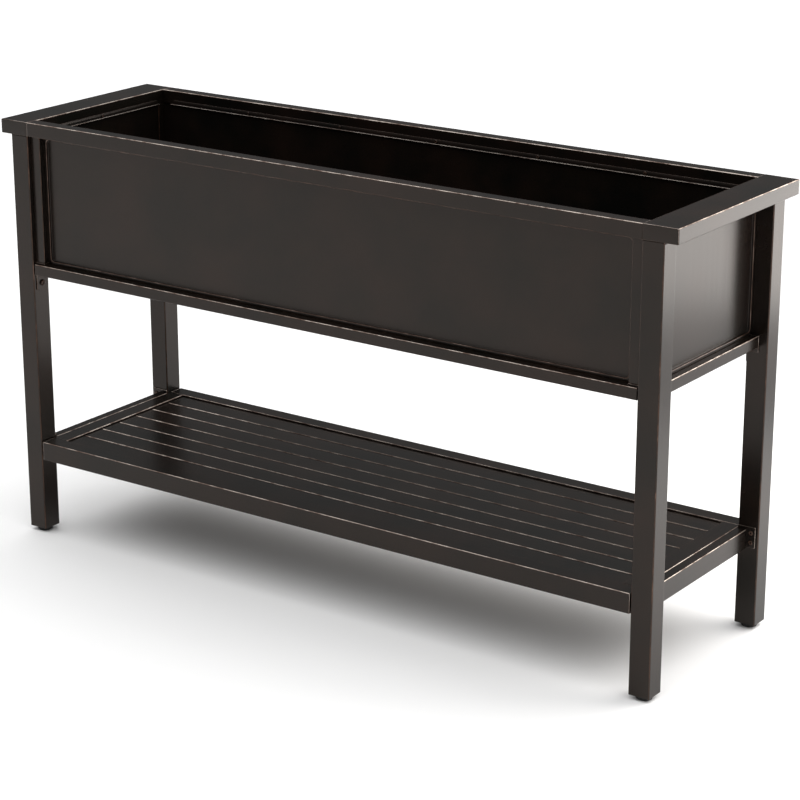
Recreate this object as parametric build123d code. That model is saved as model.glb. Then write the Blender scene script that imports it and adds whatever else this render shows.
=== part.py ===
from build123d import *
import os

# Raised trough planter on four legs with a slatted shelf, in welded and bolted square steel tube.
# Millimetres. +X runs along the length, -Y is the front, +Z is up.
# The origin is on the floor, under the middle of the planter.

# Overall size
LENGTH = 1364.0
DEPTH = 392.0
HEIGHT = 772.0

# Legs and their feet
LEG = 38.0
LEG_WALL = 1.2
LEG_CORNER = 2.2
FOOT_HEIGHT = 8.0
FOOT_RADIUS = 13.5
FOOT_EDGE = 1.6
FOOT_GAP = 0.3
STUD_RADIUS = 4.0
STUD_LENGTH = 27.0
STUD_CLEARANCE = 0.05
PLUG_HEIGHT = 24.0

# Rim round the top of the trough
OVERHANG = 23.0
RIM_THICK = 25.0
TOP_RAIL_WIDE = 25.0

# Stiles beside the long panels
STILE_WIDE = 21.0
STILE_RECESS = 8.0
SHOE_THICK = 3.0
SHOE_LIP = 1.0

# Rails under the trough
LOWER_RAIL_TOP = 514.5
LOWER_RAIL_TALL = 20.0
LOWER_RAIL_WIDE = 22.0
LOWER_RAIL_RECESS = 1.5
SIDE_RAIL_INSET = 0.5

# Sheet panels of the trough
SHEET = 1.0
LONG_PANEL_DEPTH = 24.0
SIDE_PANEL_STEP = 2.5
BEAD_WIDE = 6.0
BEAD_PROUD = 4.5
BEAD_CORNER = 7.0
LIP_TALL = 7.5
LEDGE = 2.5

# Shelf
SHELF_TOP = 179.0
SHELF_TALL = 35.0
SHELF_RAIL_WIDE = 31.0
SHELF_RAIL_GAP = 2.0
SHELF_SIDE_RAIL_WIDE = 18.0
SHELF_BOARD_WIDE = 32.0
SHELF_BOARD_TALL = 25.0
SLATS = 7
SLAT_GAP = 2.4
SLAT_END_GAP = 1.5
SLAT_TALL = 15.0
SLAT_SINK = 3.5

# Bars under the slats and under the trough's floor
BAR_WIDE = 25.0
SHELF_BAR_TALL = 12.0
SHELF_BAR_SPACING = 540.0
FLOOR_BAR_SPACING = 400.0

# Tube walls, corners and plates
WALL = 0.9
CORNER = 1.5
CAP = 1.5
SIDE_PLATE = 2.5

# Plates that bolt the long lower rails to the legs
RAIL_PLATE = 2.0
RAIL_PLATE_WIDE = 29.0
RAIL_PLATE_INSET = 6.0
RAIL_PLATE_DROP = 30.0
RAIL_PLATE_CORNER = 5.0
RAIL_BOLT_DROP = 17.0
RAIL_BOLT_INSET = 19.0

# Plates at the ends of the short rails
SIDE_RAIL_PLATE_WIDE = 23.0
SIDE_RAIL_PLATE_TALL = 28.0
SHELF_PLATE_WIDE = 32.5
SHELF_PLATE_TALL = 37.0
SHELF_PLATE_START = 0.5
SHELF_PLATE_RISE = 5.0
SHELF_SCREW_IN = 7.5
SHELF_SCREW_SPACING = 17.0

# Drainage holes in the trough's floor
DRAIN_RADIUS = 4.0
DRAIN_COLUMNS = 6
DRAIN_SPACING = 200.0
DRAIN_ROW = 90.0

# Fasteners: head radius, head height, shank radius, shank length
BOLT = (5.5, 3.6, 3.0, 13.0)
SCREW = (4.2, 2.4, 2.2, 11.0)
SMALL_SCREW = (3.2, 1.8, 1.5, 7.0)
HOLE_CLEARANCE = 0.2
LONG_LIP_SCREWS = 5
LONG_LIP_SPACING = 208.0
LIP_SCREW_RISE = 3.8
PLATE_CORNER = 2.0

# How far a cutter passes the face it cuts, and how far joined shapes overlap
OVERRUN = 1.0
JOIN = 0.1

# Places worked out from the sizes above
LEG_OUT = LENGTH / 2 - OVERHANG
LEG_IN = LEG_OUT - LEG
FRONT = DEPTH / 2
LEG_BACK = FRONT - LEG
LEG_MID_X = LEG_OUT - LEG / 2
LEG_MID_Y = FRONT - LEG / 2
RIM_BOTTOM = HEIGHT - RIM_THICK
RAIL_BOTTOM = LOWER_RAIL_TOP - LOWER_RAIL_TALL
RAIL_OUT = FRONT - LOWER_RAIL_RECESS
RAIL_IN = RAIL_OUT - LOWER_RAIL_WIDE
PANEL_IN = FRONT - LONG_PANEL_DEPTH
PANEL_OUT = PANEL_IN + SHEET
SIDE_PANEL_IN = LEG_IN + SIDE_PANEL_STEP
SIDE_PANEL_OUT = SIDE_PANEL_IN + SHEET
STILE_IN = LEG_IN - STILE_WIDE
SHELF_BOTTOM = SHELF_TOP - SHELF_TALL
SHELF_RAIL_IN = FRONT - SHELF_RAIL_WIDE
SHELF_END = LEG_IN - SHELF_RAIL_GAP
SHELF_BOARD_OUT = LEG_IN - 1.0
SHELF_BOARD_IN = SHELF_BOARD_OUT - SHELF_BOARD_WIDE

ENDS = (("left", -1), ("right", 1))
SIDES = (("front", -1), ("back", 1))

os.makedirs("parts", exist_ok=True)


def save(name, *solids):
    """Write one node. Several solids make a group of separate pieces."""
    shape = solids[0] if len(solids) == 1 else Compound(children=list(solids))
    shape.label = name
    export_step(shape, f"parts/{name}.step")


def span(sign, near, far):
    """The range from near to far on the side of the middle that sign names."""
    return tuple(sorted((sign * near, sign * far)))


def block(x, y, z):
    """A plain box over three ranges."""
    middle = [(low + high) / 2 for low, high in (x, y, z)]
    size = [high - low for low, high in (x, y, z)]
    return Pos(*middle) * Box(*size)


def tube(x, y, z, along, wall=WALL, corner=CORNER):
    """A rectangular tube over three ranges, open at its two ends along X, Y or Z."""
    axis = {"X": Axis.X, "Y": Axis.Y, "Z": Axis.Z}[along]
    outside = block(x, y, z)
    outside = fillet(outside.edges().filter_by(axis), corner)
    hollow = []
    for name, (low, high) in zip("XYZ", (x, y, z)):
        shrink = -1.0 if name == along else wall
        hollow.append((low + shrink, high - shrink))
    return outside - block(*hollow)


def slab(x, y, z, through, corner):
    """A flat plate with rounded corners, flat across the through direction."""
    axis = {"X": Axis.X, "Y": Axis.Y, "Z": Axis.Z}[through]
    plate = block(x, y, z)
    return fillet(plate.edges().filter_by(axis), corner)


def fastener(place, out, sizes):
    """A button-head screw with a hexagon socket. Its head sits at place and points out."""
    head_radius, head_height, shank_radius, shank_length = sizes
    head = Pos(0, 0, head_height / 2) * Cylinder(head_radius, head_height)
    head = fillet(head.edges().group_by(Axis.Z)[-1], head_height * 0.6)
    socket = extrude(Pos(0, 0, head_height * 0.45) * RegularPolygon(head_radius * 0.42, 6), head_height)
    shank = Pos(0, 0, (JOIN - shank_length) / 2) * Cylinder(shank_radius, shank_length + JOIN)
    return Plane(origin=place, z_dir=out) * (head - socket + shank)


def drill(place, out, sizes):
    """The clearance hole for a fastener, as a rod to cut away."""
    radius = sizes[2] + HOLE_CLEARANCE
    depth = sizes[3]
    return Plane(origin=place, z_dir=out) * (Pos(0, 0, -depth / 2) * Cylinder(radius, depth + 2 * OVERRUN))


def centred(count, spacing):
    """Evenly spaced places about the middle."""
    return [(i - (count - 1) / 2) * spacing for i in range(count)]


# Legs, each with the holes for its rail bolt and its two shelf screws
rail_bolts = []
shelf_screws = []
for end, sx in ENDS:
    for side, sy in SIDES:
        leg = tube(
            span(sx, LEG_IN, LEG_OUT),
            span(sy, LEG_BACK, FRONT),
            (FOOT_HEIGHT, RIM_BOTTOM),
            "Z",
            LEG_WALL,
            LEG_CORNER,
        )
        bolt_at = (sx * (LEG_IN - RAIL_PLATE), sy * (FRONT - RAIL_BOLT_INSET), RAIL_BOTTOM - RAIL_BOLT_DROP)
        leg -= drill(bolt_at, (-sx, 0, 0), BOLT)
        rail_bolts.append((bolt_at, (-sx, 0, 0)))
        screw_x = sx * (LEG_IN + SHELF_PLATE_START + SHELF_PLATE_WIDE - SHELF_SCREW_IN)
        screw_z = SHELF_TOP + SHELF_PLATE_RISE - SHELF_PLATE_TALL / 2
        for rise in centred(2, SHELF_SCREW_SPACING):
            screw_at = (screw_x, sy * (LEG_BACK - SIDE_PLATE), screw_z + rise)
            leg -= drill(screw_at, (0, -sy, 0), SCREW)
            shelf_screws.append((screw_at, (0, -sy, 0)))
        save(f"leg_{side}_{end}", leg)

# Feet: a moulded pad on a threaded stud, screwed into a plug in the foot of each leg
for end, sx in ENDS:
    for side, sy in SIDES:
        centre = Pos(sx * LEG_MID_X, sy * LEG_MID_Y, 0)
        pad_height = FOOT_HEIGHT - FOOT_GAP
        pad = Pos(0, 0, pad_height / 2) * Cylinder(FOOT_RADIUS, pad_height)
        pad = fillet(pad.edges().group_by(Axis.Z)[0], FOOT_EDGE)
        stud = Pos(0, 0, pad_height + STUD_LENGTH / 2) * Cylinder(STUD_RADIUS, STUD_LENGTH)
        save(f"foot_{side}_{end}", centre * (pad + stud))
        inside = LEG / 2 - LEG_WALL
        plug = block((-inside, inside), (-inside, inside), (FOOT_HEIGHT, FOOT_HEIGHT + PLUG_HEIGHT))
        plug -= Pos(0, 0, FOOT_HEIGHT) * Cylinder(STUD_RADIUS + STUD_CLEARANCE, 3 * PLUG_HEIGHT)
        save(f"leg_plug_{side}_{end}", centre * plug)

# Rim: a wide board across each end, capped at both ends, and a rail along the front and the back
caps = []
for end, sx in ENDS:
    board_x = span(sx, LEG_IN, LENGTH / 2)
    board_z = (RIM_BOTTOM, HEIGHT)
    board = tube(board_x, (CAP - FRONT, FRONT - CAP), board_z, "Y")
    for side, sy in SIDES:
        caps.append(slab(board_x, span(sy, FRONT - CAP, FRONT), board_z, "Y", CORNER))
    lip_screw = (sx * (LEG_IN - SHEET), 0, RIM_BOTTOM + LIP_SCREW_RISE)
    board -= drill(lip_screw, (-sx, 0, 0), SMALL_SCREW)
    save(f"end_board_{end}", board)
save("end_board_caps", *caps)

# Rim rails, stiles, their shoes, the long lower rails and the long panels
shoes = []
rail_plates = []
lip_screws = []
for side, sy in SIDES:
    lip_places = []
    for x in centred(LONG_LIP_SCREWS, LONG_LIP_SPACING):
        lip_places.append((x, sy * (FRONT - TOP_RAIL_WIDE - SHEET), RIM_BOTTOM + LIP_SCREW_RISE))
    rail = tube((-LEG_IN, LEG_IN), span(sy, FRONT - TOP_RAIL_WIDE, FRONT), (RIM_BOTTOM, HEIGHT), "X")
    for place in lip_places:
        rail -= drill(place, (0, -sy, 0), SMALL_SCREW)
        lip_screws.append(fastener(place, (0, -sy, 0), SMALL_SCREW))
    save(f"top_rail_{side}", rail)

    plate_out = FRONT - RAIL_PLATE_INSET
    for end, sx in ENDS:
        stile = tube(
            span(sx, STILE_IN, LEG_IN),
            span(sy, PANEL_OUT, FRONT - STILE_RECESS),
            (LOWER_RAIL_TOP + SHOE_THICK, RIM_BOTTOM),
            "Z",
        )
        save(f"stile_{side}_{end}", stile)
        shoe_y = span(sy, PANEL_OUT, FRONT - STILE_RECESS + SHOE_LIP)
        shoe_z = (LOWER_RAIL_TOP, LOWER_RAIL_TOP + SHOE_THICK)
        shoes.append(block(span(sx, STILE_IN, LEG_IN), shoe_y, shoe_z))
        plate = slab(
            span(sx, LEG_IN - RAIL_PLATE, LEG_IN),
            span(sy, plate_out - RAIL_PLATE_WIDE, plate_out),
            (RAIL_BOTTOM - RAIL_PLATE_DROP, LOWER_RAIL_TOP),
            "X",
            RAIL_PLATE_CORNER,
        )
        for place, out in rail_bolts:
            plate -= drill(place, out, BOLT)
        rail_plates.append(plate)

    rail_end = LEG_IN - RAIL_PLATE
    rail = tube((-rail_end, rail_end), span(sy, RAIL_IN, RAIL_OUT), (RAIL_BOTTOM, LOWER_RAIL_TOP), "X")
    save(f"lower_rail_{side}", rail)

    panel = block((-LEG_IN, LEG_IN), span(sy, PANEL_IN, PANEL_OUT), (LOWER_RAIL_TOP, RIM_BOTTOM))
    bead = block((-STILE_IN, STILE_IN), span(sy, PANEL_OUT, PANEL_OUT + BEAD_PROUD), (LOWER_RAIL_TOP, RIM_BOTTOM))
    field = slab(
        (BEAD_WIDE - STILE_IN, STILE_IN - BEAD_WIDE),
        span(sy, PANEL_OUT - OVERRUN, PANEL_OUT + BEAD_PROUD + OVERRUN),
        (LOWER_RAIL_TOP + BEAD_WIDE, RIM_BOTTOM - BEAD_WIDE),
        "Y",
        BEAD_CORNER,
    )
    lip_in = FRONT - TOP_RAIL_WIDE - SHEET
    ledge_in = lip_in - LEDGE
    step = block((-STILE_IN, STILE_IN), span(sy, ledge_in, PANEL_OUT), (RIM_BOTTOM - SHEET, RIM_BOTTOM))
    lip = block(
        (-STILE_IN, STILE_IN),
        span(sy, lip_in, lip_in + SHEET),
        (RIM_BOTTOM - SHEET, RIM_BOTTOM + LIP_TALL),
    )
    lip = chamfer(lip.edges().filter_by(Axis.Y).group_by(Axis.Z)[-1], LIP_TALL - SHEET)
    panel = panel + (bead - field) + step + lip
    for place in lip_places:
        panel -= drill(place, (0, -sy, 0), SMALL_SCREW)
    save(f"{side}_panel", panel)
save("stile_shoes", *shoes)
save("long_rail_plates", *rail_plates)

# Short lower rails with their end plates, and the end panels
side_plates = []
for end, sx in ENDS:
    rail_x = span(sx, LEG_IN - SIDE_RAIL_INSET, LEG_IN - SIDE_RAIL_INSET + LOWER_RAIL_WIDE)
    rail_end = LEG_BACK - SIDE_PLATE
    save(
        f"lower_rail_{end}",
        tube(rail_x, (-rail_end, rail_end), (RAIL_BOTTOM, LOWER_RAIL_TOP), "Y"),
    )
    plate_x = span(sx, LEG_IN - SIDE_RAIL_INSET, LEG_IN - SIDE_RAIL_INSET + SIDE_RAIL_PLATE_WIDE)
    plate_z = (LOWER_RAIL_TOP - SIDE_RAIL_PLATE_TALL, LOWER_RAIL_TOP)
    for side, sy in SIDES:
        side_plates.append(slab(plate_x, span(sy, rail_end, LEG_BACK), plate_z, "Y", PLATE_CORNER))

    panel = block(
        span(sx, SIDE_PANEL_IN, SIDE_PANEL_OUT),
        (-LEG_BACK, LEG_BACK),
        (LOWER_RAIL_TOP, RIM_BOTTOM),
    )
    bead = block(
        span(sx, SIDE_PANEL_OUT, SIDE_PANEL_OUT + BEAD_PROUD),
        (-LEG_BACK, LEG_BACK),
        (LOWER_RAIL_TOP, RIM_BOTTOM),
    )
    field = slab(
        span(sx, SIDE_PANEL_OUT - OVERRUN, SIDE_PANEL_OUT + BEAD_PROUD + OVERRUN),
        (BEAD_WIDE - LEG_BACK, LEG_BACK - BEAD_WIDE),
        (LOWER_RAIL_TOP + BEAD_WIDE, RIM_BOTTOM - BEAD_WIDE),
        "X",
        BEAD_CORNER,
    )
    step = block(
        span(sx, LEG_IN - SHEET - LEDGE, SIDE_PANEL_OUT),
        (-LEG_BACK, LEG_BACK),
        (RIM_BOTTOM - SHEET, RIM_BOTTOM),
    )
    lip = block(
        span(sx, LEG_IN - SHEET, LEG_IN),
        (-LEG_BACK, LEG_BACK),
        (RIM_BOTTOM - SHEET, RIM_BOTTOM + LIP_TALL),
    )
    lip = chamfer(lip.edges().filter_by(Axis.X).group_by(Axis.Z)[-1], LIP_TALL - SHEET)
    screw = ((sx * (LEG_IN - SHEET), 0, RIM_BOTTOM + LIP_SCREW_RISE), (-sx, 0, 0))
    panel = panel + (bead - field) + step + lip - drill(*screw, SMALL_SCREW)
    lip_screws.append(fastener(*screw, SMALL_SCREW))
    save(f"{end}_panel", panel)
save("short_rail_plates", *side_plates)
save("lip_screws", *lip_screws)

# The trough's floor, with drainage holes, on three bars between the long lower rails
floor_z = (LOWER_RAIL_TOP, LOWER_RAIL_TOP + SHEET)
floor = block((-SIDE_PANEL_IN, SIDE_PANEL_IN), (-LEG_BACK, LEG_BACK), floor_z)
floor += block((-LEG_IN, LEG_IN), (-PANEL_IN, PANEL_IN), floor_z)
for x in centred(DRAIN_COLUMNS, DRAIN_SPACING):
    for y in (-DRAIN_ROW, DRAIN_ROW):
        floor -= Pos(x, y, LOWER_RAIL_TOP) * Cylinder(DRAIN_RADIUS, 4 * SHEET)
save("trough_floor", floor)
for number, x in enumerate(centred(3, FLOOR_BAR_SPACING), start=1):
    bar_x = (x - BAR_WIDE / 2, x + BAR_WIDE / 2)
    save(f"floor_bar_{number}", tube(bar_x, (-RAIL_IN, RAIL_IN), (RAIL_BOTTOM, LOWER_RAIL_TOP), "Y"))

# Shelf frame: capped long rails, short rails with end plates, and a board inside each short rail
shelf_caps = []
for side, sy in SIDES:
    rail_y = span(sy, SHELF_RAIL_IN, FRONT)
    rail_z = (SHELF_BOTTOM, SHELF_TOP)
    save(f"shelf_rail_{side}", tube((CAP - SHELF_END, SHELF_END - CAP), rail_y, rail_z, "X"))
    for end, sx in ENDS:
        shelf_caps.append(slab(span(sx, SHELF_END - CAP, SHELF_END), rail_y, rail_z, "X", CORNER))
save("shelf_rail_caps", *shelf_caps)

shelf_plates = []
for end, sx in ENDS:
    rail_end = LEG_BACK - SIDE_PLATE
    rail_x = span(sx, SHELF_BOARD_OUT, SHELF_BOARD_OUT + SHELF_SIDE_RAIL_WIDE)
    save(f"shelf_rail_{end}", tube(rail_x, (-rail_end, rail_end), (SHELF_BOTTOM, SHELF_TOP), "Y"))
    board_x = span(sx, SHELF_BOARD_IN, SHELF_BOARD_OUT)
    board_z = (SHELF_TOP - SHELF_BOARD_TALL, SHELF_TOP)
    save(f"shelf_board_{end}", tube(board_x, (-SHELF_RAIL_IN, SHELF_RAIL_IN), board_z, "Y"))
    plate_in = LEG_IN + SHELF_PLATE_START
    plate_top = SHELF_TOP + SHELF_PLATE_RISE
    for side, sy in SIDES:
        plate = slab(
            span(sx, plate_in, plate_in + SHELF_PLATE_WIDE),
            span(sy, rail_end, LEG_BACK),
            (plate_top - SHELF_PLATE_TALL, plate_top),
            "Y",
            PLATE_CORNER,
        )
        for place, out in shelf_screws:
            plate -= drill(place, out, SCREW)
        shelf_plates.append(plate)
save("shelf_plates", *shelf_plates)

# Slats, and the bars that they are welded to
slat_pitch = 2 * SHELF_RAIL_IN / SLATS
slat_end = SHELF_BOARD_IN - SLAT_END_GAP
slat_top = SHELF_TOP - SLAT_SINK
slat_z = (slat_top - SLAT_TALL, slat_top)
for number, y in enumerate(centred(SLATS, slat_pitch), start=1):
    half = (slat_pitch - SLAT_GAP) / 2
    save(f"slat_{number}", tube((-slat_end, slat_end), (y - half, y + half), slat_z, "X"))
bar_z = (slat_top - SLAT_TALL - SHELF_BAR_TALL, slat_top - SLAT_TALL)
for number, x in enumerate(centred(3, SHELF_BAR_SPACING), start=1):
    bar_x = (x - BAR_WIDE / 2, x + BAR_WIDE / 2)
    save(f"shelf_bar_{number}", tube(bar_x, (-SHELF_RAIL_IN, SHELF_RAIL_IN), bar_z, "Y"))

# Fasteners that hold the lower rails and the shelf to the legs
save("rail_bolts", *[fastener(place, out, BOLT) for place, out in rail_bolts])
save("shelf_screws", *[fastener(place, out, SCREW) for place, out in shelf_screws])
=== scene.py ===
# %% [markdown]
# # A raised trough planter in brushed bronze
#
# The real planter is welded and bolted from square steel tube and thin sheet. It is powder
# coated in a dark, semi-gloss bronze, and the coat is brushed back to copper along the corners.
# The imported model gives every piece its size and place. This lesson replaces the tubes and sheets
# with surfaces that have rounded corners, rubbed edges and welds, and gives each its finish.

# %% Load the frame
import bpy
import numpy as np
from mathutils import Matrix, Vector


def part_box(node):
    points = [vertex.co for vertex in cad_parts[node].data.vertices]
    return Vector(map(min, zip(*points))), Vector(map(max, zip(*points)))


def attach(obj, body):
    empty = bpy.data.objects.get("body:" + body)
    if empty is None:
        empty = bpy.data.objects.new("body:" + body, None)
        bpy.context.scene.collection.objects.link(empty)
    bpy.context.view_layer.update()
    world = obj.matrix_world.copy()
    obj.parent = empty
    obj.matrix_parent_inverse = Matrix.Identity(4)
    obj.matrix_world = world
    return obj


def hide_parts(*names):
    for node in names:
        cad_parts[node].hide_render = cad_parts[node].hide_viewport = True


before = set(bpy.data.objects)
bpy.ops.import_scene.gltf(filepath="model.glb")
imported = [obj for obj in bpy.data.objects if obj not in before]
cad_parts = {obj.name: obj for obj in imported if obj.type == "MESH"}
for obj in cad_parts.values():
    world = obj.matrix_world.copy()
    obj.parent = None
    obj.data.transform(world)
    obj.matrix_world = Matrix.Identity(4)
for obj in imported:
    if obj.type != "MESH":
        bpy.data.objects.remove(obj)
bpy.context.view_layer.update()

# %% [markdown]
# ## Shapes from loops
#
# Every piece here is a skin over loops: rounded rectangles for tubes and plates, circles for
# screws and feet. One could start from a cube and bevel it, but a loop worked out as numbers
# knows where its corner is, so it can also say how much the brush would rub there. That share,
# with a painted highlight added on upper edges and ledge noses, is kept on the points and the finish
# reads it.

# %% Rounded outlines
MM = 0.001
ARC_STEPS = 6
FADE = 0.7 * MM


def outline(half_a, half_b, corner, fade=FADE):
    """Rounded rectangles, one a row: four quarter circles about the corner centres, joined by flats.

    A point on an arc is the corner's centre plus radius times (cos, sin). One more point on each
    flat, a fade away from the arc, keeps the flat flat. Returns the (rows, points, 2) places and
    the (points) wear, which is 1 in the middle of an arc and 0 on the flats.
    """
    half_a, half_b, corner = np.broadcast_arrays(*np.atleast_1d(half_a, half_b, corner))
    half_a, half_b, corner = (v.astype(float)[:, None, None] for v in (half_a, half_b, corner))
    share = np.linspace(0.0, 1.0, ARC_STEPS + 1)
    angle = (np.arange(4)[:, None] + share[None, :]) * np.pi / 2
    side_a = np.array([1, -1, -1, 1])[:, None]
    side_b = np.array([1, 1, -1, -1])[:, None]
    arc_a = side_a * (half_a - corner) + corner * np.cos(angle)
    arc_b = side_b * (half_b - corner) + corner * np.sin(angle)
    arcs = np.stack([arc_a, arc_b], axis=-1)
    along = np.stack([-np.sin(angle), np.cos(angle)], axis=-1)
    before = arcs[:, :, :1] - fade * along[:, :1]
    after = arcs[:, :, -1:] + fade * along[:, -1:]
    places = np.concatenate([before, arcs, after], axis=2)
    rub = np.concatenate([[0.0], 0.5 + 0.5 * np.sin(np.pi * share), [0.0]])
    return places.reshape(len(places), -1, 2), np.tile(rub, 4)


trial, _ = outline(19 * MM, 19 * MM, 2.2 * MM)
print("points round one outline:", trial.shape[1])


# %% A skin over loops
def skin(loops, wear, ring=False):
    """Quads between each loop and the next. A ring joins its last loop to its first, and any
    other skin is closed by one flat face at each end. The faces are turned outwards by the sign
    of the volume, the sum of each triangle's corner products over six."""
    rows, count, _ = loops.shape
    row = np.arange(rows if ring else rows - 1)[:, None]
    column = np.arange(count)[None, :]
    here, there = row * count, (row + 1) % rows * count
    after = (column + 1) % count
    quads = np.stack([here + column, here + after, there + after, there + column], axis=-1)
    quads = quads.reshape(-1, 4)
    points = loops.reshape(-1, 3)
    a, b, c, d = (points[quads[:, i]] - points.mean(0) for i in range(4))
    volume = (np.cross(a, b) * c).sum() + (np.cross(a, c) * d).sum()
    ends = []
    if not ring:
        ends = [np.arange(count)[::-1], np.arange(count) + (rows - 1) * count]
        for end in ends:
            p = points[end] - points.mean(0)
            volume += (np.cross(p[0], p[1:-1]) * p[2:]).sum()
    faces = quads.tolist() + [end.tolist() for end in ends]
    if volume < 0:
        faces = [face[::-1] for face in faces]
    return points, faces, np.broadcast_to(wear, (rows, count)).reshape(-1)


square = ((0, 0), (1, 0), (1, 1), (0, 1))
trial = skin(np.array([[(x, y, z) for x, y in square] for z in (0, 1)], float), 0.0)
print("a box as a skin has", len(trial[0]), "points and", len(trial[1]), "faces")


# %% Loops stood up on an axis
AXES = {"X": (1, 2, 0), "Y": (2, 0, 1), "Z": (0, 1, 2)}


def stand(flat, height, along):
    """Loops lifted off the page: two coordinates come from the loop, and the third, on the axis
    named, from the height of each loop."""
    rows, count, _ = flat.shape
    loops = np.empty((rows, count, 3))
    a, b, c = AXES[along]
    loops[..., a] = flat[..., 0]
    loops[..., b] = flat[..., 1]
    loops[..., c] = np.broadcast_to(height, (count, rows)).T
    return loops


def box_of(node):
    """A node's lowest and highest corner as two arrays, in metres."""
    return tuple(np.array(corner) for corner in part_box(node))


print("a leg's box in mm:", [(corner / MM).round(1).tolist() for corner in box_of("leg_front_right")])

# %% [markdown]
# ## Tubes and plates
#
# A real tube is rolled and seam welded, so it has a wall, rounded corners and a cut edge at each
# end. Its skin is a ring of loops that runs up the outside, turns in over the cut edge and comes
# back down the inside. That is a closed surface with no inside faces left over.

# %% Tube shells
CUT = 0.2 * MM
SUPPORT = 1.5 * MM
# Shares of the edge rubbing on lower edges and uprights; upper edges get the full share, partly a
# painted highlight.
LOW_EDGE_RUB_AND_HIGHLIGHT = 0.62
UPRIGHT_RUB_AND_HIGHLIGHT = 0.62


def tube(low, high, along, wall, corner):
    """A rectangular tube. Each loop is an outline set in by a depth, at a height on the axis:
    depth nought on the outside, the wall's thickness on the inside. The corners' rubbing share is
    full on upper edges, partly as a painted highlight of the overhead light, and less below and on
    uprights."""
    a, b, c = AXES[along]
    middle = (low + high) / 2
    half = (high - low) / 2
    near, far = low[c], high[c]
    steps = [
        (near + CUT, 0.0), (near + CUT + SUPPORT, 0.0), (far - CUT - SUPPORT, 0.0), (far - CUT, 0.0),
        (far, CUT), (far, wall - CUT), (far - CUT, wall), (near + CUT, wall),
        (near, wall - CUT), (near, CUT),
    ]
    height, depth = np.array(steps).T
    flat, rub = outline(half[a] - depth, half[b] - depth, np.maximum(corner - depth, 0.3 * MM))
    flat = flat + middle[[a, b]]
    outside = (depth < wall / 2).astype(float)[:, None]
    loops = stand(flat, height, along)
    # Full share on upper edges is partly a painted highlight of the overhead light; less on lower edges
    # and uprights.
    rub_and_highlight_by_height = np.where(loops[..., 2] > middle[2], 1.0, LOW_EDGE_RUB_AND_HIGHLIGHT) if along != "Z" else UPRIGHT_RUB_AND_HIGHLIGHT
    return skin(loops, rub * outside * rub_and_highlight_by_height, ring=True)


trial = tube(*box_of("leg_front_right"), "Z", 1.2 * MM, 2.2 * MM)
print("a leg's shell has", len(trial[0]), "points and", len(trial[1]), "faces")

# %% Plate shells
PLATE_EDGE = 0.5 * MM


def plate(low, high, along, corner, edge=PLATE_EDGE, crown=0.0):
    """A flat plate with rounded corners and edges. The loops run from the middle of one face,
    out over the quarter-round edge, and in to the middle of the other. A crown swells the first
    face by crown times one minus the square of the way out."""
    a, b, c = AXES[along]
    middle = (low + high) / 2
    half = (high - low) / 2
    reach = min(half[a], half[b]) * 0.9
    turn = np.linspace(0.0, np.pi / 2, 4)
    way = np.array([0.0, 0.4, 0.7, 0.9])
    face_depth = reach - (reach - edge - FADE) * way
    top_depth = np.concatenate([face_depth, edge - edge * np.sin(turn)])
    swell = crown * (1 - way**2)
    top = np.concatenate([high[c] - crown + swell, high[c] - crown - edge + edge * np.cos(turn)])
    under_depth = np.concatenate([edge - edge * np.cos(turn), [edge + FADE, reach]])
    under = np.concatenate([low[c] + edge - edge * np.sin(turn), [low[c], low[c]]])
    depth = np.concatenate([top_depth, under_depth])
    height = np.concatenate([top, under])
    shrink = np.minimum(depth, reach)
    least = 0.1 * MM
    flat, rub = outline(half[a] - shrink, half[b] - shrink, np.maximum(corner - depth, least), least)
    round_edge = np.sin(np.pi * np.linspace(0.1, 0.9, 4))
    rim = np.concatenate([np.zeros(4), round_edge, round_edge, [0.0, 0.0]])[:, None]
    on_side = (depth < edge).astype(float)[:, None]
    wear = np.maximum(rim, rub * on_side)
    return skin(stand(flat + middle[[a, b]], height, along), wear)


def mirrored(shell, signs):
    """The same shell reflected in x and y by the signs, with its faces turned round again if one
    reflection alone has turned them inside out."""
    points, faces, wear = shell
    if signs[0] * signs[1] < 0:
        faces = [face[::-1] for face in faces]
    return points * np.array([signs[0], signs[1], 1.0]), faces, wear


trial = plate(*box_of("shelf_board_left"), "Z", 2 * MM)
print("a plate's shell has", len(trial[0]), "points and", len(trial[1]), "faces")

# %% [markdown]
# ## From shells to pieces
#
# A piece is one or more shells in one mesh. Groups such as screws stay separate shells in a single
# piece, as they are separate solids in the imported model. Points are given to the mesh in one go.

# %% Make a piece
made = []


def piece(name, shells, finish, body="frame", nodes=()):
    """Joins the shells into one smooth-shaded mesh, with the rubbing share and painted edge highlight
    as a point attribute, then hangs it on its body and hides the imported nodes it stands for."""
    points, faces, wear, start = [], [], [], 0
    for shell_points, shell_faces, shell_wear in shells:
        points.append(shell_points)
        faces += [[start + i for i in face] for face in shell_faces]
        wear.append(shell_wear)
        start += len(shell_points)
    mesh = bpy.data.meshes.new(name)
    mesh.from_pydata(np.concatenate(points).tolist(), [], faces)
    mesh.polygons.foreach_set("use_smooth", np.ones(len(mesh.polygons), bool))
    mesh.attributes.new("wear", "FLOAT", "POINT").data.foreach_set(
        "value", np.concatenate(wear).astype(np.float32)
    )
    mesh.update()
    mesh.materials.append(finish)
    made_object = bpy.data.objects.new(name, mesh)
    bpy.context.scene.collection.objects.link(made_object)
    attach(made_object, body)
    if nodes:
        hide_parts(*nodes)
    made.append(made_object)
    return made_object


print("nodes to stand for:", len(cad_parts))
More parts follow.
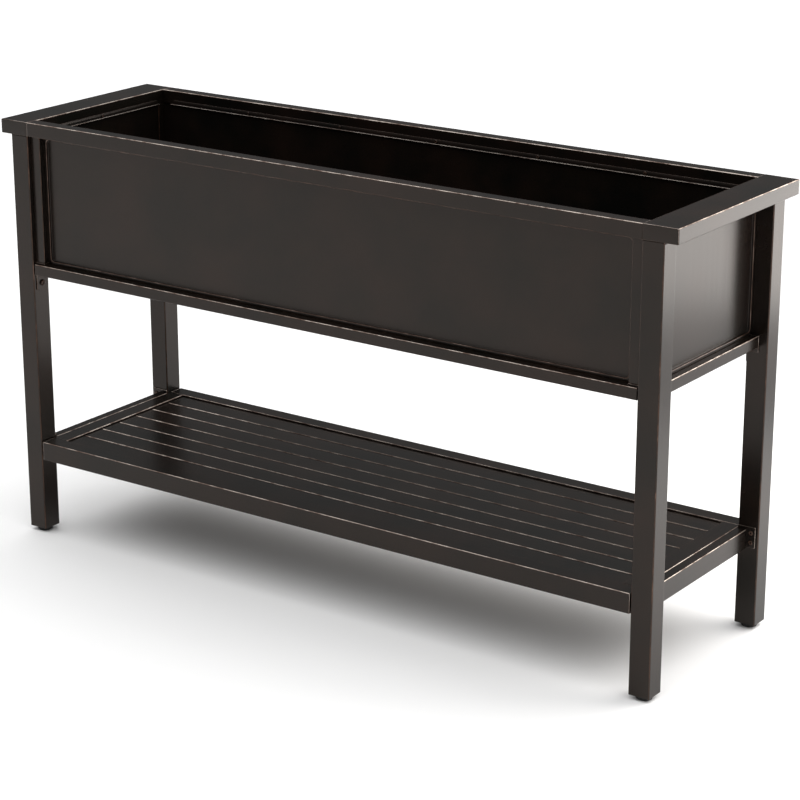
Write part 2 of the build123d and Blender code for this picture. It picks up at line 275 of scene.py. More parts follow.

# %% [markdown]
# ## Brushed bronze powder coat
#
# Powder coat is plastic fused on the metal: dark, semi-gloss, with a faint orange peel. This one
# is mottled between a greenish and a brown bronze, and fine brush lines run along each tube. The
# corners are rubbed: lightly to a copper tone, and most to pale bare metal. The upper edges and
# ledge noses get a larger share, a painted highlight of the overhead light. An image of a coat
# would stretch over 1.3 metres of tube, so the tones, lines and rubbing are noise in the object's
# own metres, and only the place of the corners and of the painted highlight comes from the pieces'
# wear and highlight attribute.

# %% A material and its nodes
def new_material(name):
    """A node material: returns it, its Principled shader and a function that adds a node with
    its settings and inputs."""
    material = bpy.data.materials.new(name)
    material.use_nodes = True
    tree = material.node_tree

    def add(kind, settings=None, **inputs):
        node = tree.nodes.new(kind)
        for key, value in (settings or {}).items():
            setattr(node, key, value)
        for key, value in inputs.items():
            socket = node.inputs[int(key[1:])] if key[0] == "_" else node.inputs[key.replace("_", " ")]
            if isinstance(value, bpy.types.NodeSocket):
                tree.links.new(value, socket)
            else:
                socket.default_value = value
        return node

    return material, tree.nodes["Principled BSDF"], add, tree.links.new


def two_tones(add, share, low, high):
    """A ramp between two colours. Low and high are each a place on the ramp and a colour."""
    ramp = add("ShaderNodeValToRGB", Fac=share)
    for stop, (position, colour) in zip(ramp.color_ramp.elements, (low, high)):
        stop.position = position
        stop.color = (*colour, 1.0)
    return ramp.outputs["Color"]


def noise(add, place, scale, detail, roughness=0.5):
    """A soft noise over a place. Its Fac is a share from 0 to 1."""
    return add("ShaderNodeTexNoise", Vector=place, Scale=scale, Detail=detail, Roughness=roughness)


print("material helpers ready")

# %% Brush lines and rubbing
ACROSS, ALONG = 1100.0, 5.0
GREENISH, BROWN = (0.0042, 0.0043, 0.0036), (0.0130, 0.0080, 0.0059)
# Copper is the rubbed coat; the pale metal tone is rubbed-through metal and, on upper edges and ledge
# noses, a painted highlight.
COPPER, PALE_METAL_AND_HIGHLIGHT = (0.22, 0.105, 0.065), (0.52, 0.46, 0.41)


def brush_noise(add, place, grain, broad):
    """Noise stretched along the grain: the place times a high number across the grain and a low
    one along it, all divided by how broad the lines are."""
    stretch = [(ALONG if axis == grain else ACROSS) / broad for axis in "XYZ"]
    brushed = add("ShaderNodeMapping", Vector=place, Scale=stretch)
    return noise(add, brushed.outputs["Vector"], 1.0, 2.0)


def bare_and_highlight_share(add, place, copper):
    """How far the coat is rubbed through, with the painted edge highlight: the pieces' rubbing share
    times a patchy noise, through a smooth step, and times the most that may show."""
    wear = add("ShaderNodeAttribute", {"attribute_name": "wear"}).outputs["Fac"]
    patchy = noise(add, place, 38.0, 4.0, 0.7).outputs["Fac"]
    uneven = add("ShaderNodeMapRange", Value=patchy, From_Min=0.34, From_Max=0.66, To_Min=0.62)
    rub = add("ShaderNodeMath", {"operation": "MULTIPLY"}, _0=wear, _1=uneven.outputs["Result"])
    step = {"interpolation_type": "SMOOTHSTEP"}
    bare_and_highlight = add("ShaderNodeMapRange", step, Value=rub.outputs["Value"], From_Min=0.32, To_Max=copper)
    return bare_and_highlight.outputs["Result"]


print("brush lines", round(1 / ACROSS / MM, 1), "mm wide and", round(1 / ALONG / MM), "mm long")


# %% The bronze coat
def bronze_coat(name, grain, copper=1.0):
    """Dark bronze powder coat, brushed along one axis. The coat's tone and the rubbed metal's tone
    are mixed by how far the corner is rubbed through, which on upper edges and ledge noses is partly a
    painted highlight."""
    material, shader, add, link = new_material(name)
    place = add("ShaderNodeTexCoord").outputs["Object"]
    mottle = noise(add, place, 7.0, 5.0, 0.62).outputs["Fac"]
    lines = brush_noise(add, place, grain, 1.0).outputs["Fac"]
    bands = brush_noise(add, place, grain, 9.0)
    peel = noise(add, place, 420.0, 2.0).outputs["Fac"]
    bare_and_highlight = bare_and_highlight_share(add, place, copper)

    line_tone = add("ShaderNodeMix", {"data_type": "RGBA", "blend_type": "MULTIPLY"}, Factor=0.10)
    link(two_tones(add, mottle, (0.36, GREENISH), (0.66, BROWN)), line_tone.inputs["A"])
    link(bands.outputs["Color"], line_tone.inputs["B"])
    colour = add("ShaderNodeMix", {"data_type": "RGBA"}, Factor=bare_and_highlight)
    link(line_tone.outputs["Result"], colour.inputs["A"])
    link(two_tones(add, bare_and_highlight, (0.25, COPPER), (0.85, PALE_METAL_AND_HIGHLIGHT)), colour.inputs["B"])
    link(colour.outputs["Result"], shader.inputs["Base Color"])

    metal = add("ShaderNodeMath", {"operation": "MULTIPLY"}, _0=bare_and_highlight, _1=0.85)
    link(metal.outputs["Value"], shader.inputs["Metallic"])
    gloss = add(
        "ShaderNodeMapRange", Value=bands.outputs["Fac"],
        From_Min=0.3, From_Max=0.7, To_Min=0.235, To_Max=0.265,
    )
    link(gloss.outputs["Result"], shader.inputs["Roughness"])

    fine = add("ShaderNodeBump", Height=lines, Strength=0.03, Distance=0.00003)
    rough = add("ShaderNodeBump", Height=peel, Strength=0.10, Distance=0.00006)
    link(fine.outputs["Normal"], rough.inputs["Normal"])
    link(rough.outputs["Normal"], shader.inputs["Normal"])
    shader.inputs["Specular IOR Level"].default_value = 0.31
    shader.inputs["Specular Tint"].default_value = (1.0, 0.875, 0.80, 1.0)
    return material


bronze = {axis: bronze_coat(f"bronze_brushed_along_{axis}", axis) for axis in "XYZ"}
painted_screw = bronze_coat("bronze_screw_paint", "Z", copper=0.35)
print("bronze coats:", sorted(m.name for m in bronze.values()))


# %% Rubber and plastic
SHEEN_VARIES = 0.07


def moulded(name, tones, roughness, grain_scale, grain_depth):
    """Moulded rubber or plastic: two close tones, a pebbled skin and a varying sheen."""
    material, shader, add, link = new_material(name)
    place = add("ShaderNodeTexCoord").outputs["Object"]
    cloud = noise(add, place, 60.0, 4.0).outputs["Fac"]
    link(two_tones(add, cloud, (0.35, tones[0]), (0.7, tones[1])), shader.inputs["Base Color"])
    sheen = add(
        "ShaderNodeMapRange", Value=cloud, From_Min=0.3, From_Max=0.7,
        To_Min=roughness - SHEEN_VARIES, To_Max=roughness + SHEEN_VARIES,
    )
    link(sheen.outputs["Result"], shader.inputs["Roughness"])
    pebble = noise(add, place, grain_scale, 3.0)
    bump = add("ShaderNodeBump", Height=pebble.outputs["Fac"], Strength=0.4, Distance=grain_depth)
    link(bump.outputs["Normal"], shader.inputs["Normal"])
    shader.inputs["Specular IOR Level"].default_value = 0.4
    return material


RUBBER_TONES = ((0.010, 0.010, 0.010), (0.028, 0.027, 0.026))
PLASTIC_TONES = ((0.008, 0.008, 0.009), (0.016, 0.016, 0.017))
foot_rubber = moulded("black_foot_rubber", RUBBER_TONES, 0.72, 1500.0, 0.0002)
plug_plastic = moulded("black_plug_plastic", PLASTIC_TONES, 0.5, 900.0, 0.0001)
print("moulded finishes:", foot_rubber.name, plug_plastic.name)


# %% Plated steel
ZINC_DULL, ZINC_BRIGHT = (0.42, 0.41, 0.36), (0.62, 0.61, 0.57)


def plated_steel(name):
    """Zinc-plated thread: a bright metal with a faint yellow cast and turned lines round it."""
    material, shader, add, link = new_material(name)
    place = add("ShaderNodeTexCoord").outputs["Object"]
    turned = add("ShaderNodeMapping", Vector=place, Scale=(60.0, 60.0, 2600.0))
    lines = noise(add, turned.outputs["Vector"], 1.0, 3.0).outputs["Fac"]
    link(two_tones(add, lines, (0.0, ZINC_DULL), (1.0, ZINC_BRIGHT)), shader.inputs["Base Color"])
    gloss = add("ShaderNodeMapRange", Value=lines, From_Min=0.3, From_Max=0.7, To_Min=0.26, To_Max=0.42)
    link(gloss.outputs["Result"], shader.inputs["Roughness"])
    bump = add("ShaderNodeBump", Height=lines, Strength=0.25, Distance=0.00005)
    link(bump.outputs["Normal"], shader.inputs["Normal"])
    shader.inputs["Metallic"].default_value = 1.0
    return material


zinc = plated_steel("zinc_plated_thread")
print("plated finish:", zinc.name)

# %% [markdown]
# ## Legs, rim, rails and shelf tubes
#
# Most of the planter is straight tube, so one rule makes it: take the node's box, and draw a tube
# along its longest way. The legs are thicker walled and rounder than the rest, and the
# slats sit close together, a little below the shelf's frame, with a thin shadow between them.

# %% Straight tubes
TUBE_WALL, TUBE_CORNER = 0.9 * MM, 1.5 * MM
LEG_WALL, LEG_CORNER = 1.2 * MM, 2.2 * MM
ENDS = (("left", -1), ("right", 1))
SIDES = (("front", -1), ("back", 1))
CORNERS = [(side, end, sx, sy) for end, sx in ENDS for side, sy in SIDES]


def straight_tube(node, wall=TUBE_WALL, corner=TUBE_CORNER):
    """Replaces a node by a tube along its longest way, brushed the same way."""
    low, high = box_of(node)
    along = "XYZ"[int(np.argmax(high - low))]
    shell = tube(low, high, along, wall, corner)
    return piece(node + "_coated", [shell], bronze[along], nodes=[node])


for side, end, sx, sy in CORNERS:
    straight_tube(f"leg_{side}_{end}", LEG_WALL, LEG_CORNER)
    straight_tube(f"stile_{side}_{end}")
for name, _ in SIDES + ENDS:
    straight_tube(f"lower_rail_{name}")
    straight_tube(f"shelf_rail_{name}")
for side, _ in SIDES:
    straight_tube(f"top_rail_{side}")
for end, _ in ENDS:
    straight_tube(f"end_board_{end}")
    straight_tube(f"shelf_board_{end}")
for number in range(1, 8):
    straight_tube(f"slat_{number}")
for number in range(1, 4):
    straight_tube(f"floor_bar_{number}")
    straight_tube(f"shelf_bar_{number}")
print("straight tubes:", len(made))

# %% [markdown]
# ## Caps, shoes and plates
#
# The end boards and shelf rails are closed by thin caps, welded on and dressed smooth, so each cap
# swells a hair in the middle and has a soft edge. Plates with rounded corners bolt the trough and
# the shelf to the legs. They could be cut from a sheet and bevelled; here the same outline
# as the tubes carries a quarter-round edge instead.

# %% Caps and plates
leg_low, leg_high = box_of("leg_front_right")
leg_in, leg_out, leg_back = leg_low[0], leg_high[0], -leg_high[1]
board_low, board_high = box_of("end_board_right")
cap_out = box_of("end_board_caps")[1][1]


def spread(shape, ends=(-1, 1), sides=(-1, 1)):
    """The same shell at every corner of the planter, mirrored into place."""
    return [mirrored(shape, (sx, sy)) for sx in ends for sy in sides]


cap_low = np.array([board_low[0], board_high[1], board_low[2]])
cap_high = np.array([board_high[0], cap_out, board_high[2]])
rim_cap = plate(cap_low, cap_high, "Y", TUBE_CORNER, edge=0.6 * MM, crown=0.25 * MM)
piece("end_board_caps_coated", spread(rim_cap), bronze["X"], nodes=["end_board_caps"])

rail_low, rail_high = box_of("shelf_rail_back")
cap_end = box_of("shelf_rail_caps")[1][0]
cap_low = np.array([rail_high[0], rail_low[1], rail_low[2]])
cap_high = np.array([cap_end, rail_high[1], rail_high[2]])
shelf_cap = plate(cap_low, cap_high, "X", TUBE_CORNER, edge=0.7 * MM, crown=0.35 * MM)
piece("shelf_rail_caps_coated", spread(shelf_cap), bronze["Y"], nodes=["shelf_rail_caps"])


def corner_group(node, along, corner, wide, deep, finish):
    """A group node with one plate at each corner of the planter. The group's box gives the far
    corner of the plate at the back right, and wide (in x) and deep (in y) give its near one."""
    low, high = box_of(node)
    near = np.array([high[0] - wide, high[1] - deep, low[2]])
    return piece(node + "_coated", spread(plate(near, high, along, corner)), finish, nodes=[node])


SIDE_PLATE = 2.5 * MM
stile_low = box_of("stile_back_right")[0]
shoe_high = box_of("stile_shoes")[1]
shoe_wide, shoe_deep = shoe_high[0] - stile_low[0], shoe_high[1] - stile_low[1]
corner_group("stile_shoes", "Z", 0.6 * MM, shoe_wide, shoe_deep, bronze["X"])
corner_group("long_rail_plates", "X", 5.0 * MM, 2.0 * MM, 29.0 * MM, bronze["Z"])
corner_group("short_rail_plates", "Y", 2.0 * MM, 23.0 * MM, SIDE_PLATE, bronze["Z"])
corner_group("shelf_plates", "Y", 2.0 * MM, 32.5 * MM, SIDE_PLATE, bronze["Z"])
print("with caps and plates:", len(made))

# %% [markdown]
# ## Panels
#
# Each trough panel is one thin sheet. Under the rim it is folded inwards to a narrow ledge and
# turned up as a lip with clipped ends, and a raised bead frames its face. The sheet is one
# cross-section carried along the panel, and the bead is another carried round a rounded rectangle.

# %% Sheet with a ledge and a lip
SHEET = 1.0 * MM
LEDGE = 2.5 * MM
LIP_CLIP = 6.0 * MM


def bent_sheet(half_run, lip_run, inner, ledge, lip_inner, bottom, rim, lip_top):
    """A sheet folded to a ledge under its lip. Each face is a chain of straight runs and quarter
    circles: up the wall, in under the ledge, round its nose, back over it and up the lip. A
    quarter circle is its centre plus the radius times (cos, sin). Returns a shell in (along, out,
    up), with the inner face first and the outer face back down."""
    nose = SHEET / 2
    turn = np.linspace(0.0, np.pi, 9)
    nose_out = ledge + nose - nose * np.sin(turn)
    nose_up = rim - SHEET + nose - nose * np.cos(turn)
    under = rim - SHEET
    inner_out = np.concatenate([[inner] * 4, [inner - 0.5 * MM, ledge + nose + 0.8 * MM], nose_out])
    inner_up = np.concatenate([
        [bottom, bottom + 0.4 * MM, under - 3 * MM, under - 1.2 * MM, under - 0.1 * MM, under], nose_up,
    ])
    hollow = 0.5 * MM
    bend = np.linspace(0.0, np.pi / 2, 4)
    lip_out = np.concatenate([
        lip_inner - hollow + hollow * np.sin(bend), [lip_inner] * 2, [lip_inner + 0.2 * MM],
    ])
    lip_up = np.concatenate([
        rim + hollow - hollow * np.cos(bend), [rim + 1.5 * MM, lip_top - 0.2 * MM, lip_top],
    ])
    back = lip_inner + SHEET
    face = inner + SHEET
    outer_out = [back - 0.2 * MM, back, back, back + 0.3 * MM, face - 0.3 * MM] + [face] * 4
    outer_up = [lip_top, lip_top - 0.2 * MM, rim + 0.3 * MM, rim, rim, rim - 0.4 * MM, rim - 2 * MM]
    outer_up += [bottom + 0.4 * MM, bottom]
    out = np.concatenate([inner_out, lip_out, outer_out])
    height = np.concatenate([inner_up, lip_up, outer_up])
    rims = np.stack([out, height], axis=-1)
    clip_start = rim + 1.5 * MM
    clip = np.clip((height - clip_start) / (lip_top - clip_start), 0.0, 1.0) * LIP_CLIP
    reach = np.where((height > rim - 1.05 * MM) & (out < inner - 0.1 * MM), lip_run - clip, half_run)
    station = np.array([-1.0, -0.9985, -0.9, 0.0, 0.9, 0.9985, 1.0])
    loops = np.empty((len(station), len(height), 3))
    loops[..., 0] = station[:, None] * reach
    loops[..., 1:] = rims
    # The ledge's nose gets the full share: a painted highlight along the ledge's upward edge.
    nose_highlight = (out < ledge + 0.45 * MM) * 1.0
    top_edge = (height > lip_top - 0.1 * MM) * 0.8
    return skin(loops, np.maximum(nose_highlight, top_edge)[None, :])


print("sheet", round(SHEET / MM, 1), "mm thick with a", round(LEDGE / MM, 1), "mm ledge")

# %% The bead
BEAD_WIDE = 6.0 * MM
BEAD_PROUD = 4.5 * MM
BEAD_CORNER = 7.0 * MM
BEAD_RUB = 0.75


def bead_frame(half_run, low, high, face):
    """The raised frame: a rounded bar whose outer edge is square and whose inner corners are
    rounded. Loops are outlines set in by a depth and stood off the face by a height."""
    soft, foot, sunk = 1.1 * MM, 0.8 * MM, -0.4 * MM
    turn = np.linspace(0.0, np.pi / 2, 5)
    depth = np.concatenate([
        [0.0, 0.0],
        soft - soft * np.cos(turn),
        BEAD_WIDE - soft + soft * np.sin(turn),
        BEAD_WIDE + foot * (1 - np.cos(turn)),
        [BEAD_WIDE + foot, 0.0],
    ])
    height = np.concatenate([
        [sunk, 1.5 * MM],
        BEAD_PROUD - soft + soft * np.sin(turn),
        BEAD_PROUD - soft + soft * np.cos(turn),
        foot * (1 - np.sin(turn)),
        [sunk, sunk],
    ])
    corner = foot + (BEAD_CORNER - foot) * np.minimum(depth / BEAD_WIDE, 1.0)
    middle = (low + high) / 2
    flat, _ = outline(half_run - depth, (high - low) / 2 - depth, corner)
    out = np.broadcast_to((face + height)[:, None], flat.shape[:2])
    loops = np.stack([flat[..., 0], out, flat[..., 1] + middle], axis=-1)
    ridge = np.sin(np.pi * np.linspace(0.1, 0.9, 5))
    wear = np.concatenate([[0.0, 0.0], ridge, ridge, np.zeros(5), [0.0, 0.0]]) * BEAD_RUB
    return skin(loops, wear[:, None], ring=True)


print("bead", round(BEAD_WIDE / MM, 1), "mm wide, standing", round(BEAD_PROUD / MM, 1), "mm proud")


# %% Set the panels
def set_panel(shell, axis, sign):
    """Turns a shell from (along, out, up) into the planter's x, y, z: the outward way is the axis
    and sign given. Mirroring turns its faces round again where it must."""
    points, faces, wear = shell
    placed = points.copy() if axis == "Y" else points[:, [1, 0, 2]]
    placed[:, 0 if axis == "X" else 1] *= sign
    inside_out = (axis == "Y" and sign < 0) or (axis == "X" and sign > 0)
    return placed, [face[::-1] for face in faces] if inside_out else faces, wear


rim = box_of("top_rail_front")[0][2]
for side, sy in SIDES:
    low, high = box_of(f"{side}_panel")
    ledge = min(abs(low[1]), abs(high[1]))
    face = max(abs(low[1]), abs(high[1])) - BEAD_PROUD
    sheet = bent_sheet(high[0], stile_low[0], face - SHEET, ledge, ledge + LEDGE, low[2], rim, high[2])
    bead = bead_frame(stile_low[0], low[2], rim, face)
    shells = [set_panel(shell, "Y", sy) for shell in (sheet, bead)]
    piece(f"{side}_panel_coated", shells, bronze["X"], nodes=[f"{side}_panel"])
for end, sx in ENDS:
    low, high = box_of(f"{end}_panel")
    ledge = min(abs(low[0]), abs(high[0]))
    face = max(abs(low[0]), abs(high[0])) - BEAD_PROUD
    sheet = bent_sheet(high[1], high[1], face - SHEET, ledge, ledge + LEDGE, low[2], rim, high[2])
    bead = bead_frame(high[1], low[2], rim, face)
    shells = [set_panel(shell, "X", sx) for shell in (sheet, bead)]
    piece(f"{end}_panel_coated", shells, bronze["Z"], nodes=[f"{end}_panel"])
print("with panels:", len(made))

# %% [markdown]
# ## Fasteners
#
# These are turned parts. A turned part is a profile of radii and heights swept round an axis. Here
# the radius may also depend on the angle, which cuts a hexagon socket, the finger flutes of a
# levelling foot, or a thread whose height climbs by one pitch a turn.

# %% Turned shells
AROUND = 48


def turned(radius, height, place, out, wear=0.0):
    """Sweeps a profile round the axis that starts at place and points out. Radius and height are
    arrays of one row a profile point and one column an angle. Its ends close flat."""
    out = np.array(out, float)
    side = np.cross(out, [0.0, 0.0, 1.0] if abs(out[2]) < 0.5 else [1.0, 0.0, 0.0])
    side /= np.linalg.norm(side)
    third = np.cross(out, side)
    radius, height = np.broadcast_arrays(radius, height)
    angle = np.arange(radius.shape[1]) * 2 * np.pi / radius.shape[1]
    loops = (
        np.array(place) + height[..., None] * out
        + (radius * np.cos(angle))[..., None] * side + (radius * np.sin(angle))[..., None] * third
    )
    return skin(loops, wear)


angle = np.arange(AROUND) * 2 * np.pi / AROUND
hexagon = 1.0 / np.cos((angle + np.pi / 6) % (np.pi / 3) - np.pi / 6)
print("a hexagon's corners stand", round(hexagon.max(), 3), "times as far out as its flats")


# %% A button-headed screw
def button_screw(place, out, head_radius, head_height, shank_radius, shank_length):
    """A button head with a hexagon socket. The dome's radius and height follow a quarter ellipse,
    and the socket's radius is its half width over the cosine of the angle from the nearest flat."""
    socket = head_radius * 0.40 * hexagon
    dome = np.linspace(0.0, np.pi / 2, 7)
    flat = head_radius * 0.55
    dome_radius = flat + (head_radius - flat) * np.sin(dome)
    dome_height = head_height * (0.25 + 0.75 * np.cos(dome))
    circle = np.ones(AROUND)
    under_head = [head_radius, head_radius - 0.2 * MM, shank_radius, shank_radius, shank_radius * 0.8]
    radius = np.vstack([
        socket * 0.3, socket * 0.97, socket, socket * 1.04,
        np.outer(dome_radius, circle), np.outer(under_head, circle),
    ])
    floor = head_height * 0.45
    height = np.concatenate([
        [floor, floor, floor + 0.1 * MM, head_height - 0.05 * MM], dome_height,
        [0.15 * MM, 0.0, 0.0, 0.5 * MM - shank_length, -shank_length],
    ])[:, None]
    wear = np.concatenate([[0, 0, 0, 0.9], 0.9 * np.cos(dome), [0.4, 0, 0, 0, 0]])[:, None]
    return turned(radius, height, place, out, wear)


trial = button_screw((0, 0, 0), (0, 0, 1), 5 * MM, 3 * MM, 3 * MM, 12 * MM)
print("a screw has", len(trial[0]), "points and", len(trial[1]), "faces")

# %% Bolts and screws
# Head radius, head height, shank radius and shank length
BOLT = (5.5 * MM, 3.6 * MM, 3.0 * MM, 13.0 * MM)
SCREW = (4.2 * MM, 2.4 * MM, 2.2 * MM, 11.0 * MM)
SMALL_SCREW = (3.2 * MM, 1.8 * MM, 1.5 * MM, 7.0 * MM)

bolt_low, bolt_high = box_of("rail_bolts")
bolt_x, bolt_y = bolt_high[0] - BOLT[3], bolt_high[1] - BOLT[0]
bolt_z = (bolt_low[2] + bolt_high[2]) / 2
bolts = [
    button_screw((sx * bolt_x, sy * bolt_y, bolt_z), (-sx, 0, 0), *BOLT) for _, _, sx, sy in CORNERS
]
piece("rail_bolts_painted", bolts, painted_screw, nodes=["rail_bolts"])

screw_low, screw_high = box_of("shelf_screws")
screw_x, screw_y = screw_high[0] - SCREW[0], screw_high[1] - SCREW[3]
shelf_screws = [
    button_screw((sx * screw_x, sy * screw_y, height), (0, -sy, 0), *SCREW)
    for _, _, sx, sy in CORNERS
    for height in (screw_low[2] + SCREW[0], screw_high[2] - SCREW[0])
]
piece("shelf_screws_painted", shelf_screws, painted_screw, nodes=["shelf_screws"])

LONG_LIP_SPACING = 208 * MM
lip_low, lip_high = box_of("lip_screws")
lip_height = (lip_low[2] + lip_high[2]) / 2
lip_face = lip_high[1] - SMALL_SCREW[3]
end_face = lip_high[0] - SMALL_SCREW[3]
lip_screws = [
    button_screw((step * LONG_LIP_SPACING, sy * lip_face, lip_height), (0, -sy, 0), *SMALL_SCREW)
    for step in range(-2, 3) for _, sy in SIDES
]
lip_screws += [button_screw((sx * end_face, 0, lip_height), (-sx, 0, 0), *SMALL_SCREW) for _, sx in ENDS]
piece("lip_screws_painted", lip_screws, painted_screw, nodes=["lip_screws"])
print("bolts and screws:", len(bolts) + len(shelf_screws) + len(lip_screws))

# %% [markdown]
# ## Levelling feet
#
# A levelling foot is a rubber pad moulded on a threaded stud, which screws into a plastic plug in
# the leg's lower end. The pad is fluted for the fingers that turn it. A modelled thread could be a
# spiral swept along its length; here it is one grid whose radius knows both its height and angle.

# %% The rubber pad
FINE_AROUND = 144
fine_angle = np.arange(FINE_AROUND) * 2 * np.pi / FINE_AROUND


def foot_pad(place, radius, height):
    """A moulded pad: a shallow ring in its underside, a rounded foot, finger flutes that scallop
    the side by a cosine of 24 times the angle, and a small collar on top."""
    fluted = 1.0 - 0.022 * (1.0 - np.cos(24 * fine_angle))
    smooth = np.ones(FINE_AROUND)
    edge = 1.6 * MM
    turn = np.linspace(0.0, np.pi / 2, 5)
    rows = [(0.15, 0.8 * MM), (0.45, 0.8 * MM), (0.52, 0.0), (0.80, 0.0)]
    radii = [np.array(r * radius * smooth) for r, _ in rows]
    heights = [h for _, h in rows]
    radii += [(radius - edge + edge * np.sin(t)) * (smooth if t < 1.2 else fluted) for t in turn]
    heights += [edge - edge * np.cos(t) for t in turn]
    radii += [radius * fluted, radius * fluted, (radius - 0.5 * MM) * fluted, radius * 0.72 * smooth]
    heights += [height * 0.45, height - 1.0 * MM, height - 0.5 * MM, height - 0.4 * MM]
    radii += [radius * 0.60 * smooth, radius * 0.56 * smooth, radius * 0.34 * smooth]
    heights += [height - 0.3 * MM, height, height]
    return turned(np.array(radii), np.array(heights)[:, None], place, (0, 0, 1))


print("a pad has", FINE_AROUND, "points round it")

# %% The stud
STUD_RADIUS, STUD_LENGTH, PITCH = 4.0 * MM, 27 * MM, 1.25 * MM


def threaded_stud(place, radius, length):
    """A machine thread: the radius falls by a triangle wave of the height over the pitch less the
    angle over a turn, so the groove climbs one pitch each time round."""
    rows = int(length / PITCH * 8)
    height = np.linspace(0.0, length, rows)[:, None]
    phase = (height / PITCH - angle[None, :] / (2 * np.pi)) % 1.0
    groove = 0.62 * MM * (1.0 - 2.0 * np.abs(phase - 0.5))
    taper = np.clip((length - height) / (1.5 * MM), 0.0, 1.0)
    crest = radius - 0.6 * MM * (1.0 - taper) - groove * 0.8
    return turned(crest, np.broadcast_to(height, crest.shape), place, (0, 0, 1))


print("turns on a stud:", round(STUD_LENGTH / PITCH, 1))


# %% The plug in the leg
def leg_plug(place, half, height, hole):
    """A square plug with a round hole: a ring of loops, square on the outside and round inside."""
    depth = np.array([0.6, 0.0, 0.0, 0.6]) * MM
    square, _ = outline(half - depth, half - depth, 1.0 * MM)
    bearing = np.arctan2(square[0, :, 1], square[0, :, 0])
    circle = np.stack([np.cos(bearing), np.sin(bearing)], axis=-1)
    lead = 0.8 * MM
    bore = np.array([hole + lead, hole, hole, hole + lead])
    flats = np.concatenate([square, bore[:, None, None] * circle])
    levels = np.array([0.0, 0.6 * MM, height - 0.6 * MM, height, height, height - lead, lead, 0.0])
    loops = stand(flats, levels, "Z") + np.array(place)
    return skin(loops, 0.0, ring=True)


trial = leg_plug((0, 0, 0), 17 * MM, 24 * MM, 4 * MM)
print("a plug has", len(trial[0]), "points and", len(trial[1]), "faces")

# %% Feet and plugs in place
for side, end, sx, sy in CORNERS:
    node = f"foot_{side}_{end}"
    low, high = box_of(node)
    middle = np.array([(low[0] + high[0]) / 2, (low[1] + high[1]) / 2, low[2]])
    pad_top = high[2] - STUD_LENGTH
    piece(f"{node}_pad", [foot_pad(middle, (high[0] - low[0]) / 2, pad_top - low[2])], foot_rubber,
          body=node, nodes=[node])
    stud = threaded_stud(middle + [0, 0, pad_top - 0.2 * MM], STUD_RADIUS, STUD_LENGTH)
    piece(f"{node}_stud", [stud], zinc, body=node)
    plug_node = f"leg_plug_{side}_{end}"
    low, high = box_of(plug_node)
    middle[2] = low[2]
    plug = leg_plug(middle, (high[0] - low[0]) / 2, high[2] - low[2], 4.05 * MM)
    piece(f"{plug_node}_moulded", [plug], plug_plastic, nodes=[plug_node])
print("with fasteners and feet:", len(made))

# %% [markdown]
# ## The trough's floor
#
# The floor is a flat sheet with drainage holes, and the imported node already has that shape. It
# stays as it is and only takes the coat.

# %% Coat the floor
floor_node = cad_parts["trough_floor"]
floor_node.data.materials.clear()
floor_node.data.materials.append(bronze["X"])
print("left as packed:", sorted(n for n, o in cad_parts.items() if not o.hide_render))

# %% [markdown]
# ## Welds
#
# Where the end boards overhang the legs, a small fillet weld shows under the coat. A fillet is
# a rounded triangle carried along the joint. Its size rises and falls in overlapping scallops, as
# each drop of metal cools on the last.

# %% Weld beads
def weld(start, finish, face_a, face_b, size):
    """A bead from start to finish in the corner between two faces, given by their outward ways.
    Each point is the joint plus size times a flattened quarter circle, and size scallops along."""
    start, finish, face_a, face_b = (np.array(v, float) for v in (start, finish, face_a, face_b))
    length = np.linalg.norm(finish - start)
    rows = int(length / (0.5 * MM)) + 1
    way = np.linspace(0.0, 1.0, rows)
    scallop = 0.90 + 0.10 * np.abs(np.sin(np.pi * way * length / (2.6 * MM)))
    taper = np.sqrt(np.clip(np.minimum(way, 1.0 - way) * length / (1.5 * MM) + 0.05, 0.0, 1.0))
    bead = size * scallop * taper
    turn = np.linspace(0.0, np.pi / 2, 7)
    flatten = 1.0 - 0.22 * np.sin(2 * turn)
    corner = -0.15
    a = np.concatenate([flatten * np.cos(turn), [corner, corner, 1.0]])
    b = np.concatenate([flatten * np.sin(turn), [1.0, corner, corner]])
    centre = start + way[:, None] * (finish - start)
    loops = centre[:, None, :] + bead[:, None, None] * (a[:, None] * face_a + b[:, None] * face_b)
    return skin(loops, 0.15)


rim_low = board_low[2]
margin = 2 * MM
under_rim = weld(
    (leg_out, leg_back + margin, rim_low), (leg_out, -leg_low[1] - margin, rim_low),
    (1, 0, 0), (0, 0, -1), 3.0 * MM,
)
inner_rim = weld(
    (leg_in + 2 * margin, leg_back, rim_low), (leg_out - margin, leg_back, rim_low),
    (0, -1, 0), (0, 0, -1), 2.2 * MM,
)
welds = [mirrored(bead, (sx, sy)) for bead in (under_rim, inner_rim) for _, _, sx, sy in CORNERS]
piece("rim_welds", welds, bronze["Y"])

# %% [markdown]
# ## Floor, light and camera
#
# The planter stands on a pale matte floor under an even overhead light. The air is brightest
# overhead, so level faces stay dark and only upper edges catch the light. The camera itself sees
# plain white behind the floor's far edge. A soft panel stands behind the right end, low enough
# for the end faces to mirror it. A dark glossy thing is lit by what it mirrors more than by what
# falls on it, so the panel's place matters more than its strength.

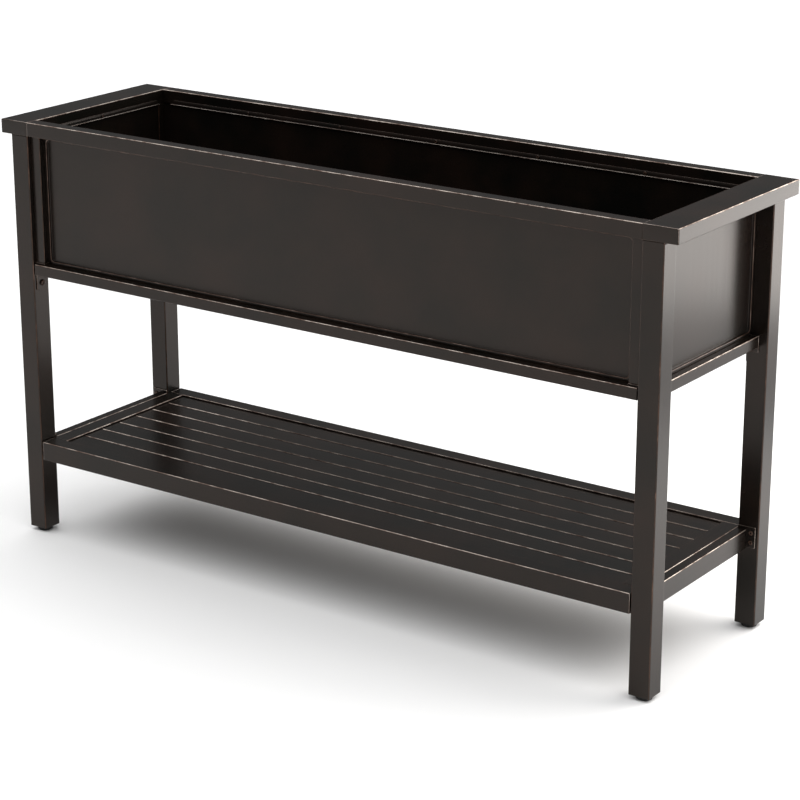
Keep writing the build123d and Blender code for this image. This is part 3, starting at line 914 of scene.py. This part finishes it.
# %% Floor
FLOOR_HALF = 60.0
floor_mesh = bpy.data.meshes.new("studio_floor")
floor_corners = [(x * FLOOR_HALF, y * FLOOR_HALF, 0.0) for x, y in ((-1, -1), (1, -1), (1, 1), (-1, 1))]
floor_mesh.from_pydata(floor_corners, [], [[0, 1, 2, 3]])
studio_floor = bpy.data.objects.new("studio_floor", floor_mesh)
bpy.context.scene.collection.objects.link(studio_floor)
paper, paper_shader, paper_add, paper_link = new_material("studio_paper")
paper_place = paper_add("ShaderNodeTexCoord").outputs["Object"]
paper_cloud = paper_add("ShaderNodeTexNoise", Vector=paper_place, Scale=0.6, Detail=2.0)
paper_tone = two_tones(paper_add, paper_cloud.outputs["Fac"], (0.0, [0.92] * 3), (1.0, [0.94] * 3))
paper_link(paper_tone, paper_shader.inputs["Base Color"])
paper_shader.inputs["Roughness"].default_value = 0.9
paper_shader.inputs["Specular IOR Level"].default_value = 0.1
floor_mesh.materials.append(paper)
print("floor", 2 * FLOOR_HALF, "m square")

# %% Light
world = bpy.data.worlds.new("studio_air")
world.use_nodes = True
air = world.node_tree.nodes
direction = air.new("ShaderNodeTexCoord")
upward = air.new("ShaderNodeSeparateXYZ")
world.node_tree.links.new(direction.outputs["Generated"], upward.inputs["Vector"])
dome = air.new("ShaderNodeMapRange")
dome.interpolation_type = "SMOOTHSTEP"
dome.inputs["From Min"].default_value = 0.35
dome.inputs["From Max"].default_value = 0.85
dome.inputs["To Min"].default_value = 0.12
dome.inputs["To Max"].default_value = 2.0
world.node_tree.links.new(upward.outputs["Z"], dome.inputs["Value"])
backdrop = air.new("ShaderNodeMix")
backdrop.inputs["B"].default_value = 1.0
seen = air.new("ShaderNodeLightPath").outputs["Is Camera Ray"]
world.node_tree.links.new(seen, backdrop.inputs["Factor"])
world.node_tree.links.new(dome.outputs["Result"], backdrop.inputs["A"])
world.node_tree.links.new(backdrop.outputs["Result"], air["Background"].inputs["Strength"])
air["Background"].inputs["Color"].default_value = (1.0, 1.0, 1.0, 1.0)
bpy.context.scene.world = world
bpy.context.scene.view_settings.view_transform = "Standard"

panel_at = Vector((1.25, 0.85, 0.85))
panel_aim = Vector((0.66, 0.0, 0.5))
panel_light = bpy.data.lights.new("end_panel_light", "AREA")
panel_light.shape = "RECTANGLE"
panel_light.size = 1.5
panel_light.size_y = 1.3
panel_light.energy = 21.5
panel_light.color = (1.0, 0.965, 0.925)
panel_object = bpy.data.objects.new("end_panel_light", panel_light)
panel_object.location = panel_at
panel_object.rotation_euler = (panel_aim - panel_at).to_track_quat("-Z", "Y").to_euler()
panel_object.visible_camera = False
bpy.context.scene.collection.objects.link(panel_object)
print("soft panel", round((panel_at - panel_aim).length, 2), "m from the end panel")

# %% Camera
CAMERA_AT = Vector((2.3837, -3.3122, 1.6746))
TURN, LOOK_DOWN, LENS = 35.249, 18.30, 111.50
camera = bpy.data.cameras.new("camera")
camera.lens = LENS
camera_object = bpy.data.objects.new("camera", camera)
camera_object.location = CAMERA_AT
camera_object.rotation_euler = (np.radians(90.0 - LOOK_DOWN), 0.0, np.radians(TURN))
bpy.context.scene.collection.objects.link(camera_object)
bpy.context.scene.camera = camera_object
print("camera", round(CAMERA_AT.length, 2), "m from the planter's foot")

# %% Measure and finish
bpy.context.view_layer.update()
triangles = sum(len(face.vertices) - 2 for one in made for face in one.data.polygons)
print("pieces:", len(made), " triangles:", triangles)
